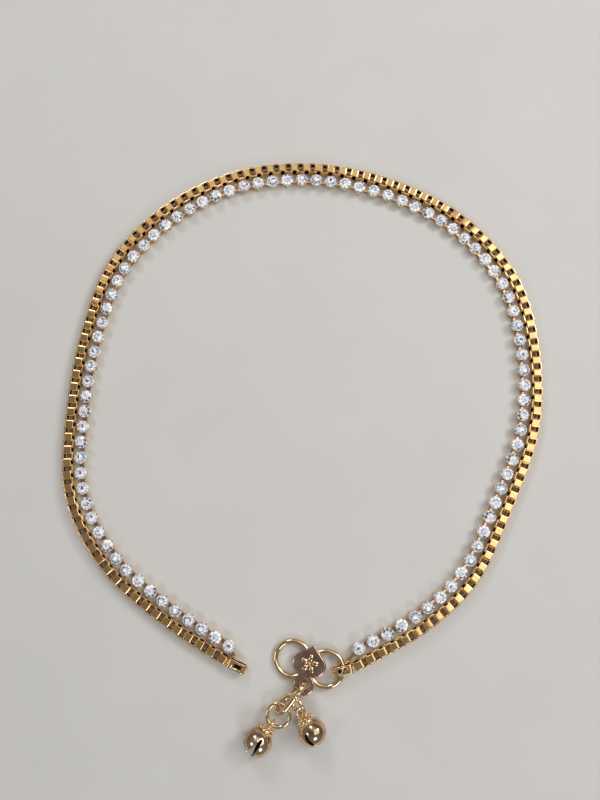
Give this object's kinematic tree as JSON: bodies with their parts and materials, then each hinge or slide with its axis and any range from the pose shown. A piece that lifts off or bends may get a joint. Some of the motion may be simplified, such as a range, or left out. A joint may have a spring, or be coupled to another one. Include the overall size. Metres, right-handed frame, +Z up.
{
  "type": "chain anklet",
  "caption": "Anklet laid open in a loop: square box chain with a claw-set stone string inside it, S-hook clasp with heart plate, and a pair of small slit bells on rings.",
  "frame": {"origin": "under the middle of the bounding box, on the surface the anklet lies on", "axes": "+Z up, +Y from the clasp across the loop to its far side, +X to the clasp's hooked side"},
  "size_m": [0.0836, 0.1022, 0.0049],
  "materials": {
    "chain_gold": "polished yellow gold plate",
    "clasp_gold": "mirror-polished pale gold plate",
    "crystal": "clear faceted stones"
  },
  "bodies": {
    "root": {"stone_chain": "crystal", "box_chain": "chain_gold", "end_tip_left": "chain_gold", "end_tip_right": "chain_gold", "heart_clasp": "clasp_gold", "drop_ring": "clasp_gold", "bell_ring_left": "clasp_gold", "bell_ring_right": "clasp_gold", "bell_left": "clasp_gold", "bell_right": "clasp_gold"}
  },
  "joints": []
}
